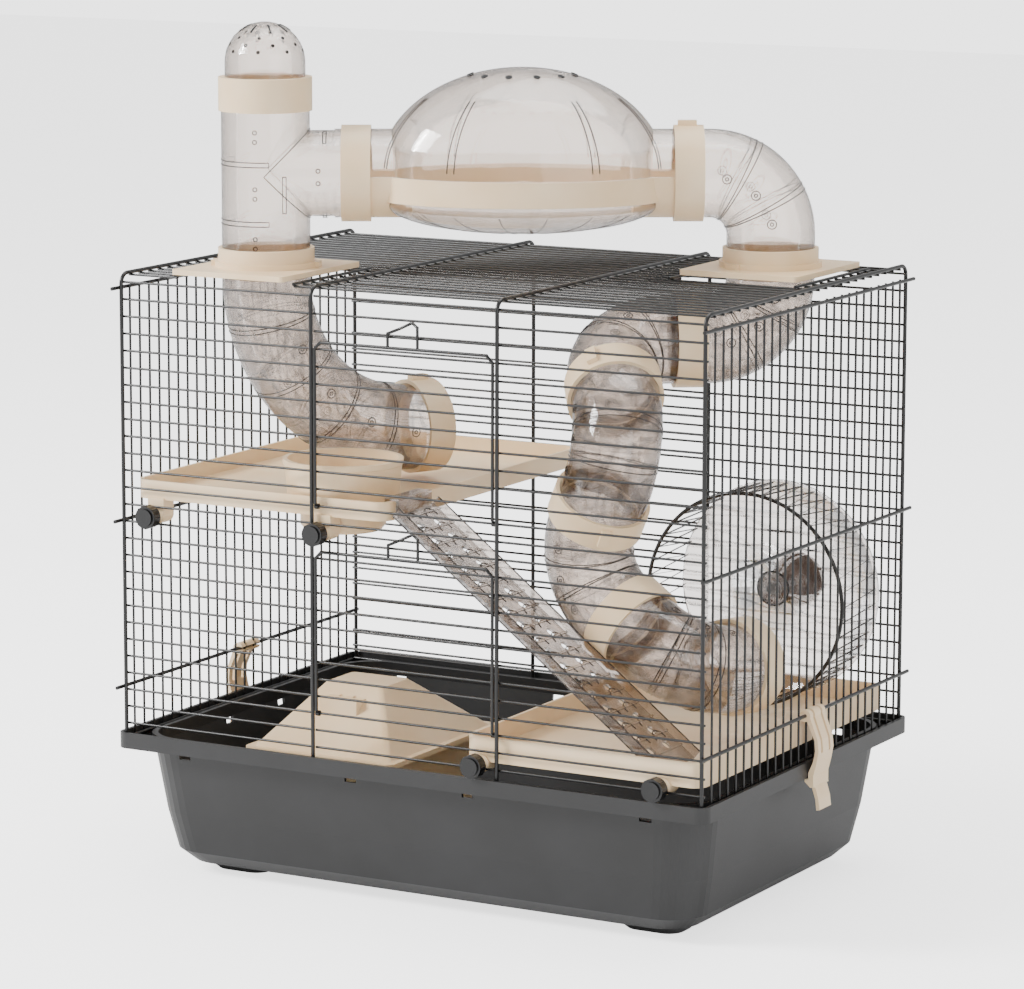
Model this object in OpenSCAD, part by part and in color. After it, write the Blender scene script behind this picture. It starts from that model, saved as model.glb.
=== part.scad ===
// Two-storey wire hamster cage on a plastic tray, with a roof-top playroom and climbing tubes.
// Origin: middle of the footprint, on the table. +X is the right side, -Y the front, +Z up.

/* [Tray] */
// Width of the tray's rim, left to right
rim_w = 500; // [440:1:620]
// Depth of the tray's rim, front to back
rim_d = 350; // [330:1:430]
// Height of the tray's rim above the table
tray_h = 112; // [95:1:140]
// Wall thickness of the moulded tray
tray_wall = 2.6; // [2:0.1:4]
// Height of the rim band
rim_h = 12; // [10:0.5:16]
// How far the tray's walls stand back under the rim
rim_overhang = 12; // [8:0.5:16]
// How far the walls lean in from the rim to the floor
wall_lean = 16; // [8:1:24]
// Height of the feet under the floor
foot_h = 9; // [5:0.5:14]

/* [Wire cage] */
// Height of the wire cage above the tray's rim
cage_h = 350; // [300:1:430]
// How far the wire walls stand in from the rim's edge
wire_inset = 6; // [5:0.5:8]
// Diameter of the thin wires
wire_d = 1.8; // [1.6:0.1:2.4]
// Diameter of the posts and the bent cross wires
post_d = 3; // [2.6:0.1:4]
// Diameter of the long side rods
rod_d = 2.8; // [2.4:0.1:3.6]
// Spacing aimed at between thin wires
wire_pitch = 13; // [10:0.5:16]
// Distance between the two middle posts
post_gap = 156; // [140:1:190]

/* [Doors] */
// Height of a door leaf above its hinge wire
door_h = 122; // [90:1:140]
// Width of the latch loop on a door
latch_w = 25; // [16:1:40]

/* [Tubes] */
// Outer diameter of the play tubes
tube_d = 66; // [50:1:76]
// Wall thickness of the play tubes
tube_wall = 2; // [1.5:0.1:3]
// Outer diameter of the connector rings
ring_d = 72; // [56:1:84]
// Length of a connector ring
ring_len = 22; // [16:1:28]
// Centre-line bend radius of the short elbows
elbow_r = 46; // [36:1:52]
// Centre-line bend radius of the long inner elbow
long_elbow_r = 124; // [100:1:130]
// Height of the tee's branch axis above the roof wires
branch_h = 75; // [66:1:95]
// Height of the tee above the roof wires
tee_h = 127; // [118:1:160]
// Gap between a tube and what it slides into
tube_gap = 0.2; // [0.15:0.05:0.4]

/* [Playroom dome] */
// Depth of the oval playroom, across the tube line
dome_d = 149; // [120:1:170]
// Height of the clear dome over its band
dome_h = 79; // [60:1:95]
// Height of the oval band
band_h = 19; // [14:1:24]
// Depth of the clear dish under the band
dish_h = 25; // [18:1:30]

/* [Shelves and ramp] */
// Width of the upper shelf
upper_shelf_w = 220; // [200:1:240]
// Width of the lower shelf
lower_shelf_w = 193; // [188:1:210]
// Height of the upper shelf's wall
upper_wall_h = 14; // [10:1:18]
// Height of the lower shelf's wall
lower_wall_h = 18; // [14:1:22]
// Wall and floor thickness of the shelves
shelf_wall = 2.4; // [1.8:0.1:3.5]
// Width of the ramp
ramp_w = 60; // [50:1:62]
// Diameter of the shelf knobs
knob_d = 17; // [13:0.5:20]

/* [Furniture] */
// Diameter of the food bowl at its top
bowl_d = 90; // [70:1:94]
// Height of the bowl above the shelf's floor
bowl_h = 34; // [28:1:44]
// Width of the house at its eaves
house_w = 130; // [100:1:140]
// Depth of the house at its eaves
house_d = 165; // [120:1:175]
// Height of the house's roof above its eaves
house_roof_h = 46; // [30:1:55]
// Outer diameter of the running wheel
wheel_d = 166; // [130:1:168]
// Depth of the running wheel
wheel_w = 66; // [50:1:75]

/* [Hidden] */
$fn = 32;
eps = 0.01;
gap = 0.3;              // clearance between pieces that only stand next to each other
weld = 0.3;             // how deep welded wires sink into each other

cage_w = rim_w - 2 * wire_inset;
cage_d = rim_d - 2 * wire_inset;
roof_z = tray_h + cage_h;
wire_r = wire_d / 2;
post_r = post_d / 2;
rod_r = rod_d / 2;
in_step = post_r + wire_r - weld;                   // thin wires lie inside the posts
channel_w = 8;
channel_in = 3;
channel_corner = 4;
channel_z = tray_h - 8;
foot_wire_z = channel_z + 2.5;
bend_r = 8;

row_n = round(cage_h / wire_pitch);
row_pitch = cage_h / row_n;
side_n = round(cage_d / wire_pitch);
side_pitch = cage_d / side_n;
side_rod_x = cage_w / 2 + post_r + rod_r + gap;
side_wire_x = side_rod_x - rod_r - wire_r + weld;
rod_over = 8;
top_rod_z = roof_z - 11;
mid_rod_z = tray_h + 0.464 * cage_h;
low_rod_z = tray_h + 34.5;

// rows of horizontal wires, counted up from the rim
function row_z(i) = tray_h + row_pitch * (i + 0.5);
function row_gap_z(i) = tray_h + row_pitch * i;      // height midway between two rows
lower_hinge_row = 2;
door_rows = floor((door_h - wire_r) / row_pitch);
upper_hinge_row = row_n - 4 - door_rows;
knob_row_low = 1;
knob_row_high = upper_hinge_row - 1;

door_frame_r = 1.2;
door_x = post_gap / 2 - post_r - door_frame_r - 0.7;
door_y = -cage_d / 2 - 0.5;
hinge_y = -cage_d / 2 + in_step;
eye_r = wire_r + 0.1;
eye_wall = 1.1;
eye_len = 3;

tube_r = tube_d / 2;
bore_r = tube_r - tube_wall;
ring_r = ring_d / 2;
ring_bore_r = tube_r + tube_gap;
ring_stop = 1;
tube_stop = ring_stop + 0.3;
flange_t = 4;
flange_z = roof_z + post_r + gap;
flange_top = flange_z + flange_t;
flange_w = 97;
flange_d = 112;
spigot_h = 4.5;
elbow_leg = elbow_r + 16;

left_port = [-cage_w / 2 + 93, -cage_d / 2 + 56];
right_port = [cage_w / 2 - 67.5, cage_d / 2 - 96];
port_gap = norm(right_port - left_port);
tube_line = atan2(right_port[1] - left_port[1], right_port[0] - left_port[0]);
branch_z = roof_z + branch_h;
tee_leg = 67.5;
dome_arm = 15.7;
left_ring_s = tee_leg;
right_ring_s = port_gap - elbow_leg;
dome_s = (left_ring_s + right_ring_s) / 2;
dome_a = (right_ring_s - left_ring_s) / 2 - dome_arm;
dome_b = dome_d / 2;
dome_wall = 2.2;
band_wall = 3;

left_exit_az = 62;
long_drop = long_elbow_r + 4;
long_run = long_elbow_r + 10;
chain_drop = 51;
chain_rolls = [145, 241, 257, 143, 257];
chain_n = len(chain_rolls);

upper_floor_z = row_gap_z(knob_row_high) + 11.6;
lower_floor_z = row_gap_z(knob_row_low) - 2;
shelf_front = -cage_d / 2 + in_step + wire_r + 2.5;
upper_x0 = -cage_w / 2 + 6;
upper_x1 = upper_x0 + upper_shelf_w;
upper_y1 = cage_d / 2 - 32;
lower_x1 = cage_w / 2 - 3;
lower_x0 = lower_x1 - lower_shelf_w;
lower_y1 = cage_d / 2 - 20;
knob_y = -cage_d / 2 - post_r - 1;
knob_t = 10;
screw_r = 2;
boss_r = 7;
lower_knob_z = row_z(0) + wire_r + screw_r + gap;
upper_knob_z = row_gap_z(knob_row_high);
upper_knob_xs = [upper_x0 + 20, -post_gap / 2 + 6.4];
lower_knob_xs = [lower_x0 + 14, lower_x1 - 31];

bowl_x = upper_x1 - 64;
bowl_y = shelf_front + 46;
bowl_foot_r = 32;
bowl_foot_h = 17;
bowl_gap = 0.5;

ramp_y0 = shelf_front + 4;
ramp_top = [upper_x1 + 3, upper_floor_z + 4];
ramp_foot = [lower_x1 - 38, lower_floor_z + shelf_wall + 2.6];
ramp_t = 2.2;
ramp_rail = 6;

house_x = -87;
house_y = -67;
house_eave_z = 103;
tray_floor_z = foot_h + tray_wall;
house_wall = 2.4;

wheel_x = side_wire_x - wire_r - 2 - wheel_d / 2;
wheel_z = row_z(7) + wire_r + screw_r + gap;
wheel_y1 = cage_d / 2 - 35;
wheel_y0 = wheel_y1 - wheel_w;
wheel_r = wheel_d / 2;
axle_r = 4;
axle_fit = 0.06;
hub_r = 14;
rung_n = 40;
bracket_y = cage_d / 2 - in_step - wire_r - gap;

clip_y = side_n % 2 == 0 ? side_pitch / 2 : 0;      // its two slots straddle two side wires
clip_w = 2 * side_pitch;
clip_slot = wire_d + 1.2;
clip_fit = 0.08;

// ---- colours ----
enamel = "#26272b";
tray_grey = "#48494a";
cream = "#efdcc3";
smoke = [0.84, 0.80, 0.77, 0.45];
steel = "#b8babd";
knob_black = "#161617";
bracket_brown = "#6b5648";

// ---- small shapes ----
// straight wire from p to q
module wire(p, q, r) {
    v = q - p;
    len = norm(v);
    translate(p) rotate([0, acos(v[2] / len), atan2(v[1], v[0])]) cylinder(r = r, h = len, $fn = 16);
}

// wire bent through a list of points: each straight runs a little past its bends
module bent_wire(points, r) {
    n = len(points) - 1;
    for (i = [0 : n - 1]) {
        v = points[i + 1] - points[i];
        past = v / norm(v) * r * 0.6;
        wire(points[i] - (i > 0 ? past : 0 * v), points[i + 1] + (i < n - 1 ? past : 0 * v), r);
    }
}

module wire_x(x0, x1, y, z, r) wire([x0, y, z], [x1, y, z], r);
module wire_y(y0, y1, x, z, r) wire([x, y0, z], [x, y1, z], r);
module wire_z(z0, z1, x, y, r) wire([x, y, z0], [x, y, z1], r);

// rectangle with round corners, centred
module round_rect(w, d, r) {
    union() {
        square([w - 2 * r, d], center = true);
        square([w, d - 2 * r], center = true);
        for (sx = [-1, 1], sy = [-1, 1])
            translate([sx * (w / 2 - r), sy * (d / 2 - r)]) circle(r = r);
    }
}

module slab(w, d, h, r) linear_extrude(height = h) round_rect(w, d, r);

module pipe(ro, ri, h) {
    difference() {
        cylinder(r = ro, h = h, $fn = 64);
        translate([0, 0, -1]) cylinder(r = ri, h = h + 2, $fn = 64);
    }
}

// solid 90 degree bend: enters along +Z, leaves along +X
module bend_core(r, bend, z0, leg_in, leg_out) {
    translate([0, 0, z0]) cylinder(r = r, h = leg_in - bend - z0, $fn = 64);
    translate([bend, 0, leg_in - bend]) rotate([90, 0, 0]) rotate([0, 0, 90])
        rotate_extrude(angle = 90, $fn = 96) translate([bend, 0]) circle(r = r, $fn = 64);
    translate([bend, 0, leg_in]) rotate([0, 90, 0]) cylinder(r = r, h = leg_out - bend, $fn = 64);
}

module elbow_tube(bend, z0, leg_in, leg_out) {
    difference() {
        bend_core(tube_r, bend, z0, leg_in, leg_out);
        bend_core(bore_r, bend, z0 - 1, leg_in, leg_out + 1);
    }
}

// connector ring centred on its length, with an inner stop and a finger lug
module ring(length, lug_az) {
    difference() {
        union() {
            translate([0, 0, -length / 2]) cylinder(r = ring_r, h = length, $fn = 64);
            rotate([0, 0, lug_az]) translate([ring_r - 1, -4, -length / 2 + 3])
                cube([4.5, 8, length - 8]);
        }
        translate([0, 0, -length]) cylinder(r = bore_r, h = 2 * length, $fn = 64);
        translate([0, 0, ring_stop]) cylinder(r = ring_bore_r, h = length, $fn = 64);
        translate([0, 0, -ring_stop - length]) cylinder(r = ring_bore_r, h = length, $fn = 64);
    }
}

// ---- places ----
module at_port(p) translate([p[0], p[1], 0]) children();
module on_tube_line(s, z) translate([left_port[0], left_port[1], z])
    rotate([0, 0, tube_line]) translate([s, 0, 0]) children();

// steps along the chain of short elbows: each one enters along +Z and leaves along +X
module chain_step(i) {
    if (i == 0) at_port(right_port) translate([0, 0, flange_z]) rotate([180, 0, 0]) children();
    else chain_step(i - 1) rotate([0, 0, chain_rolls[i - 1]])
        translate([elbow_leg, 0, i == 1 ? chain_drop : elbow_leg]) rotate([0, 90, 0]) children();
}

// ---- tray ----
module tray_layer(inset, z, r) translate([0, 0, z]) slab(rim_w - 2 * inset, rim_d - 2 * inset, 1, r);

module tray_bowl(inset, z_floor, z_top) {
    hull() {
        tray_layer(inset + rim_overhang, z_top - 1, 34);
        tray_layer(inset + rim_overhang + 0.45 * wall_lean, z_floor + 40, 32);
        tray_layer(inset + rim_overhang + 0.85 * wall_lean, z_floor + 10, 30);
        tray_layer(inset + rim_overhang + wall_lean + 8, z_floor, 26);
    }
}

module base_tray() color(tray_grey) {
    foot_in = rim_overhang + wall_lean + 45;
    wall_top = tray_h - 3;
    difference() {
        union() {
            tray_bowl(0, foot_h, tray_h - rim_h + 1);
            for (sx = [-1, 1], sy = [-1, 1])
                hull() translate([sx * (rim_w / 2 - foot_in), sy * (rim_d / 2 - foot_in), 0]) {
                    slab(44, 34, 1, 12);
                    translate([0, 0, foot_h + 2]) slab(66, 56, 1, 16);
                }
            translate([0, 0, tray_h - rim_h]) slab(rim_w, rim_d, rim_h, 9);
        }
        tray_bowl(tray_wall, foot_h + tray_wall, tray_h - rim_h + 1);
        translate([0, 0, tray_h - rim_h - 1])
            slab(rim_w - 2 * (rim_overhang + tray_wall), rim_d - 2 * (rim_overhang + tray_wall), rim_h + 2, 31);
        // channel that the wire walls stand in
        translate([0, 0, channel_z]) difference() {
            slab(rim_w - 2 * channel_in, rim_d - 2 * channel_in, rim_h, channel_corner);
            translate([0, 0, -1]) slab(rim_w - 2 * (channel_in + channel_w),
                rim_d - 2 * (channel_in + channel_w), rim_h + 2, 32);
        }
        // inner lip stays below the outer one
        translate([0, 0, wall_top]) slab(rim_w - 2 * channel_in - 1, rim_d - 2 * channel_in - 1, rim_h, channel_corner);
        // slots left by the mould under the rim, where the snap hooks were formed
        for (sx = [-1, 1], sy = [-1, 1], x = [50, rim_w / 2 - 54])
            translate([sx * x, sy * (rim_d / 2 - rim_overhang), tray_h - rim_h - 4])
                cube([10, 12, 5], center = true);
        for (sx = [-1, 1], sy = [-1, 1])
            translate([sx * (rim_w / 2 - rim_overhang), sy * 38, tray_h - rim_h - 4])
                cube([12, 10, 5], center = true);
    }
}

// ---- wire panels ----
// bent top of a post: rises along the wall, then turns over onto the roof
module post(x, side) {
    y = side * cage_d / 2;
    wire_z(foot_wire_z - post_r, roof_z - bend_r, x, y, post_r);
    translate([x, side * (cage_d / 2 - bend_r), roof_z - bend_r]) rotate([0, -90, 0])
        rotate([0, 0, side > 0 ? 0 : -90]) rotate_extrude(angle = 90, $fn = 32)
            translate([bend_r, 0]) circle(r = post_r, $fn = 16);
}

module wall_rows(x0, x1, side, rows) {
    y = side * (cage_d / 2 - in_step);
    for (i = rows) wire_x(x0, x1, y, row_z(i), wire_r);
}

module foot_wire(x0, x1, side)
    wire_x(x0, x1, side * (cage_d / 2 - post_r - 1.2 + weld), foot_wire_z + 1.2, 1.2);

module front_side_wall(s) {
    x0 = post_gap / 2;
    x1 = cage_w / 2;
    mirror([s < 0 ? 1 : 0, 0, 0]) {
        post(x0, -1);
        post(x1, -1);
        wall_rows(x0, x1 + post_r, -1, [0 : row_n - 1]);
        foot_wire(x0, x1, -1);
    }
}

module front_grille_left() color(enamel) front_side_wall(-1);
module front_grille_right() color(enamel) front_side_wall(1);

module front_grille_centre() color(enamel) {
    x = post_gap / 2 - post_r;
    wall_rows(-x, x, -1, [0 : lower_hinge_row]);
    wall_rows(-x, x, -1, [lower_hinge_row + door_rows + 1 : upper_hinge_row]);
    wall_rows(-x, x, -1, [upper_hinge_row + door_rows + 1 : row_n - 1]);
    foot_wire(-x, x, -1);
}

module back_grille() color(enamel) {
    for (x = [-cage_w / 2, -post_gap / 2, post_gap / 2, cage_w / 2]) post(x, 1);
    wall_rows(-cage_w / 2 - post_r, cage_w / 2 + post_r, 1, [0 : row_n - 1]);
    foot_wire(-cage_w / 2, cage_w / 2, 1);
}

module side_panel(s) color(enamel) {
    mirror([s < 0 ? 1 : 0, 0, 0]) {
        for (i = [1 : side_n - 1])
            wire_z(foot_wire_z, top_rod_z + 1.5, side_wire_x, -cage_d / 2 + i * side_pitch, wire_r);
        for (z = [top_rod_z, mid_rod_z, low_rod_z])
            wire_y(-cage_d / 2 - rod_over, cage_d / 2 + rod_over, side_rod_x, z, rod_r);
        wire_y(-cage_d / 2 + 8, cage_d / 2 - 8, side_wire_x - wire_r - 1.2 + weld,
            foot_wire_z + 1.2, 1.2);
    }
}

module roof_y_wire(x, y0, y1) wire_y(y0, y1, x, roof_z, post_r);
roof_y = cage_d / 2 - bend_r - gap;
roof_wire_z = roof_z - in_step;

// roof wires of one side, cut short around the tube's flange
module roof_side(x_outer, x_inner, port) {
    x_lo = min(x_outer, x_inner);
    x_hi = max(x_outer, x_inner);
    hole_x = flange_w / 2 + 3;
    hole_y = flange_d / 2 - 4;
    frame_r = 1.2;
    roof_y_wire(x_outer < 0 ? x_outer + post_r : x_outer - post_r, -roof_y, roof_y);
    for (i = [1 : side_n - 1]) {
        y = -cage_d / 2 + i * side_pitch;
        if (abs(y - port[1]) > hole_y) wire_x(x_lo, x_hi, y, roof_wire_z, wire_r);
        else {
            wire_x(x_lo, port[0] - hole_x + 0.8, y, roof_wire_z, wire_r);
            wire_x(port[0] + hole_x - 0.8, x_hi, y, roof_wire_z, wire_r);
        }
    }
    for (sx = [-1, 1]) wire_y(max(-roof_y + 2.4, port[1] - hole_y - side_pitch),
        port[1] + hole_y + side_pitch, port[0] + sx * hole_x, roof_wire_z + wire_r + frame_r - weld, frame_r);
}

module roof_grille_left() color(enamel)
    roof_side(-cage_w / 2 - post_r, -post_gap / 2 - post_r - gap, left_port);
module roof_grille_right() color(enamel)
    roof_side(cage_w / 2 + post_r, post_gap / 2 + post_r + gap, right_port);

module roof_grille_centre() color(enamel) {
    for (sx = [-1, 1]) roof_y_wire(sx * post_gap / 2, -roof_y, roof_y);
    for (i = [1 : side_n - 1])
        wire_x(-post_gap / 2 - post_r, post_gap / 2 + post_r, -cage_d / 2 + i * side_pitch,
            roof_wire_z, wire_r);
}

// ---- doors ----
// leaf that hangs on the wire of hinge_row, with a latch loop over its top bar
module door(hinge_row) color(enamel) {
    z0 = row_z(hinge_row);
    z1 = z0 + door_h;
    catch_z = row_z(hinge_row + door_rows + 1);
    corner = 5;
    leaf_y = door_y + door_frame_r + wire_r - weld;
    bent_wire([[-door_x, door_y, z0 + 2.2], [-door_x, door_y, z1 - corner],
        [-door_x + corner, door_y, z1], [door_x - corner, door_y, z1],
        [door_x, door_y, z1 - corner], [door_x, door_y, z0 + 2.2]], door_frame_r);
    for (i = [1 : door_rows]) wire_x(-door_x - 0.5, door_x + 0.5, leaf_y, z0 + i * row_pitch, wire_r);
    for (sx = [-1, 1]) {
        translate([sx * door_x, hinge_y, z0]) rotate([0, 90, 0]) translate([0, 0, -eye_len / 2])
            pipe(eye_r + eye_wall, eye_r, eye_len);
        wire([sx * door_x, door_y, z0 + 2.2], [sx * door_x, hinge_y - eye_r - 0.5, z0 + 0.9], 1);
    }
    latch_z = catch_z + wire_r + 1.9;
    bent_wire([[-latch_w / 2, door_y, z1], [-latch_w / 2, door_y, latch_z],
        [-latch_w / 4, door_y + 6, latch_z + 3], [latch_w / 6, door_y + 7, latch_z + 8],
        [latch_w / 2 - 3, door_y + 5, latch_z + 5], [latch_w / 2, door_y, latch_z],
        [latch_w / 2, door_y, z1]], 1.1);
}

// ---- side clips ----
// spring clip: hooks over the low side rod and snaps under the tray's rim
module clip(s) color(cream) {
    rim_x = rim_w / 2;
    rim_bottom = tray_h - rim_h;
    tail_z = rim_bottom - 24;
    outer = rim_x + 4.6;
    mirror([s < 0 ? 1 : 0, 0, 0]) translate([0, clip_y, 0]) difference() {
        union() {
            translate([side_rod_x, clip_w / 2, low_rod_z]) rotate([90, 0, 0])
                cylinder(r = rod_r + 3, h = clip_w, $fn = 48);
            translate([0, clip_w / 2, 0]) rotate([90, 0, 0]) linear_extrude(height = clip_w)
                polygon([[side_rod_x + rod_r + 0.6, low_rod_z + 1], [side_rod_x + 4.2, low_rod_z - 1],
                    [outer + 3.2, low_rod_z - 18], [outer + 4, low_rod_z - 26],
                    [outer + 2.2, low_rod_z - 36], [outer, rim_bottom + 2], [outer, rim_bottom - 6],
                    [outer + 3, tail_z + 8], [outer + 4, tail_z], [outer + 1.4, tail_z - 0.6],
                    [outer + 0.4, tail_z + 8], [outer - 2.6, rim_bottom - 7],
                    [rim_x - 2.4, rim_bottom - 3], [rim_x - 2.4, rim_bottom - 0.9],
                    [rim_x + 0.5, rim_bottom - 0.9], [rim_x + 0.5, rim_bottom + 4],
                    [outer - 0.4, low_rod_z - 34], [outer + 1.2, low_rod_z - 26],
                    [outer + 0.6, low_rod_z - 18], [side_rod_x + 1, low_rod_z - 2.4]]);
        }
        translate([side_rod_x, clip_w, low_rod_z]) rotate([90, 0, 0])
            cylinder(r = rod_r + clip_fit, h = 2 * clip_w, $fn = 48);
        translate([side_rod_x - 8, -clip_w, low_rod_z - 1.15]) cube([8, 2 * clip_w, 2.3]);
        // two long slots make three springy fingers, and the tail is narrower
        for (sy = [-1, 1]) translate([side_rod_x - 8, sy * side_pitch / 2 - clip_slot / 2, low_rod_z - 28])
            cube([24, clip_slot, 38]);
        for (sy = [-1, 1]) translate([rim_x - 6, sy * (clip_w / 2 + 1.5) - 4.5, tail_z - 5])
            cube([24, 9, rim_bottom - tail_z - 2]);
    }
}

// ---- shelves ----
module shelf_tray(x0, x1, y1, z, h, r) {
    w = x1 - x0;
    d = y1 - shelf_front;
    translate([(x0 + x1) / 2, (shelf_front + y1) / 2, z]) difference() {
        slab(w, d, h, r);
        translate([0, 0, shelf_wall]) slab(w - 2 * shelf_wall, d - 2 * shelf_wall, h, r - shelf_wall);
    }
}

// boss on the shelf's front edge that the knob's screw turns into
module knob_boss(x, z, z_shelf) {
    translate([x, shelf_front - 1.5, z]) rotate([-90, 0, 0]) cylinder(r = boss_r, h = 14);
    translate([x - boss_r, shelf_front - 1.5, min(z, z_shelf)])
        cube([2 * boss_r, 14, abs(z_shelf - z) + shelf_wall / 2]);
}

module screw_hole(x, z) translate([x, shelf_front - 5, z]) rotate([-90, 0, 0])
    cylinder(r = screw_r + 0.05, h = 17, $fn = 24);

module upper_shelf() color(cream) {
    z_knob = upper_knob_z;
    difference() {
        union() {
            shelf_tray(upper_x0, upper_x1, upper_y1, upper_floor_z, upper_wall_h, 12);
            for (x = upper_knob_xs) knob_boss(x, z_knob, upper_floor_z);
        }
        for (x = upper_knob_xs) screw_hole(x, z_knob);
        translate([bowl_x, bowl_y, upper_floor_z - 1])
            cylinder(r = bowl_foot_r + bowl_gap, h = shelf_wall + 2, $fn = 64);
    }
}

module lower_shelf() color(cream) {
    z_knob = lower_knob_z;
    difference() {
        union() {
            shelf_tray(lower_x0, lower_x1, lower_y1, lower_floor_z, lower_wall_h, 10);
            for (x = lower_knob_xs) knob_boss(x, z_knob, lower_floor_z);
        }
        for (x = lower_knob_xs) screw_hole(x, z_knob);
    }
}

module knob(x, z) color(knob_black) translate([x, knob_y, z]) rotate([90, 0, 0]) difference() {
    union() {
        cylinder(r = knob_d / 2, h = knob_t - 1.5, $fn = 48);
        cylinder(r = knob_d / 2 - 2, h = knob_t, $fn = 48);
        for (a = [0 : 45 : 315]) rotate([0, 0, a]) translate([knob_d / 2 - 0.6, 0, 1])
            cylinder(r = 1.1, h = knob_t - 3, $fn = 16);
    }
    translate([0, 0, -1]) cylinder(r = screw_r, h = 7, $fn = 24);
}

module knob_screw(x, z) color(steel) translate([x, knob_y - 5.5, z]) rotate([-90, 0, 0])
    cylinder(r = screw_r, h = shelf_front + 11 - knob_y + 5.5, $fn = 24);

// ---- bowl, ramp, house ----
module food_bowl() color(cream) translate([bowl_x, bowl_y, upper_floor_z + shelf_wall + 0.2]) {
    r_top = bowl_d / 2;
    t = 2.4;
    rotate_extrude($fn = 96) polygon([[0, -bowl_foot_h - shelf_wall], [bowl_foot_r - 3, -bowl_foot_h - shelf_wall],
        [bowl_foot_r, -bowl_foot_h - shelf_wall + 4], [bowl_foot_r, 0], [r_top - 4, 0], [r_top - 1, bowl_h - 5],
        [r_top, bowl_h - 4], [r_top, bowl_h], [r_top - t - 1, bowl_h], [r_top - 4 - t, t],
        [bowl_foot_r - t, t], [bowl_foot_r - t, -bowl_foot_h + 3], [bowl_foot_r - 5, -bowl_foot_h],
        [0, -bowl_foot_h]]);
}

module ramp() color(smoke) {
    run = ramp_foot[0] - ramp_top[0];
    fall = ramp_top[1] - ramp_foot[1];
    slope = atan2(fall, run);
    length = norm([run, fall]);
    step = 15;
    translate([ramp_top[0], ramp_y0, ramp_top[1]]) rotate([0, slope, 0]) {
        difference() {
            cube([length, ramp_w, ramp_t]);
            for (i = [1 : floor(length / step) - 1], y = [0.3 * ramp_w, 0.7 * ramp_w])
                translate([i * step + 2, y, -1]) cylinder(r = 4, h = ramp_t + 2, $fn = 24);
        }
        for (y = [0, ramp_w - ramp_t]) translate([0, y, 0]) cube([length, ramp_t, ramp_t + ramp_rail]);
        for (i = [0 : floor((length - 8) / step)]) translate([i * step + 6, ramp_t / 2, ramp_t / 2])
            cube([1.6, ramp_w - ramp_t, ramp_t / 2 + 1.4]);
    }
    // lip that hangs over the shelf's wall
    top = upper_floor_z + upper_wall_h + gap;
    translate([upper_x1 - shelf_wall - 4.5, ramp_y0 + 6, top]) cube([12, ramp_w - 12, 2]);
    translate([upper_x1 - shelf_wall - 4.5, ramp_y0 + 6, top - 7]) cube([2, ramp_w - 12, 8]);
    translate([upper_x1 + 2.6, ramp_y0 + 6, ramp_top[1]]) cube([2.6, ramp_w - 12, top + 2 - ramp_top[1]]);
}

module house_walls() color(cream) translate([house_x, house_y, tray_floor_z + gap]) {
    w = house_w - 28;
    d = house_d - 28;
    h = house_eave_z - tray_floor_z - 2 * gap;
    difference() {
        slab(w, d, h, 8);
        translate([0, 0, -1]) slab(w - 2 * house_wall, d - 2 * house_wall, h + 2, 6);
        translate([0, 0, 26]) rotate([0, 90, 0]) cylinder(r = 24, h = w, $fn = 64);
        translate([0, -24, -1]) cube([w, 48, 27]);
        for (sy = [-1, 1], x = [-24, 24]) translate([x, sy * d / 2, 55]) rotate([90, 0, 0])
            cylinder(r = 7, h = 20, center = true, $fn = 32);
    }
}

module hip(inset, z0, z1) hull() {
    translate([0, 0, z0]) slab(house_w - 2 * inset, house_d - 2 * inset, 0.5, 5);
    translate([-5, 0, z1 - 0.5]) slab(house_w * 0.46 - 2 * inset, house_d * 0.31 - 2 * inset, 0.5, 4);
}

module house_roof() color(cream) translate([house_x, house_y, house_eave_z]) {
    h = house_roof_h;
    t = house_wall;
    difference() {
        union() {
            slab(house_w, house_d, 4, 6);
            translate([0, 0, 3]) hip(5, 0, h - 3);
            translate([-4, -house_d * 0.27, 3]) rotate([90, 0, 0]) translate([-16, 0, -42]) cube([32, h * 0.78, 42]);
        }
        translate([0, 0, -1]) hip(5 + t + 1, 0, h - t);
        for (x = [-10, 2], y = [0, 8]) translate([x + y / 2 - 4, -house_d * 0.27 + y + 6, h * 0.5])
            cylinder(r = 1.8, h = 30, $fn = 24);
    }
}

// ---- wheel ----
module wheel_drum() color(smoke) translate([wheel_x, wheel_y0, wheel_z]) rotate([-90, 0, 0]) {
    rim_t = 3;
    difference() {
        union() {
            pipe(wheel_r, wheel_r - 4, rim_t);
            translate([0, 0, wheel_w - rim_t]) cylinder(r = wheel_r, h = rim_t, $fn = 96);
            translate([0, 0, wheel_w - 14]) cylinder(r = hub_r, h = 14, $fn = 48);
        }
        translate([0, 0, wheel_w - 20]) cylinder(r = axle_r + axle_fit, h = 30, $fn = 48);
        for (a = [0 : 30 : 330]) rotate([0, 0, a]) translate([0.62 * wheel_r, 0, wheel_w - 10])
            cylinder(r = 7, h = 20, $fn = 32);
    }
    for (i = [0 : rung_n - 1]) {
        a = (i + 0.25) * 360 / rung_n;
        r = wheel_r - 2;
        wire([r * cos(a), r * sin(a), rim_t - 1], [r * cos(a), r * sin(a), wheel_w - rim_t + 1], 1.1);
    }
}

module wheel_hub_cap() color(smoke) translate([wheel_x, wheel_y1 - 14 - gap, wheel_z]) rotate([90, 0, 0]) {
    difference() {
        union() {
            cylinder(r = 9, h = 5, $fn = 48);
            cylinder(r = 13, h = 1.6, $fn = 48);
        }
        translate([0, 0, -1]) cylinder(r = axle_r, h = 4, $fn = 48);
    }
}

module wheel_axle() color(steel) translate([wheel_x, wheel_y1 - 14 - gap - 3, wheel_z]) rotate([-90, 0, 0])
    cylinder(r = axle_r, h = bracket_y - 3 - (wheel_y1 - 17 - gap), $fn = 48);

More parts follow.
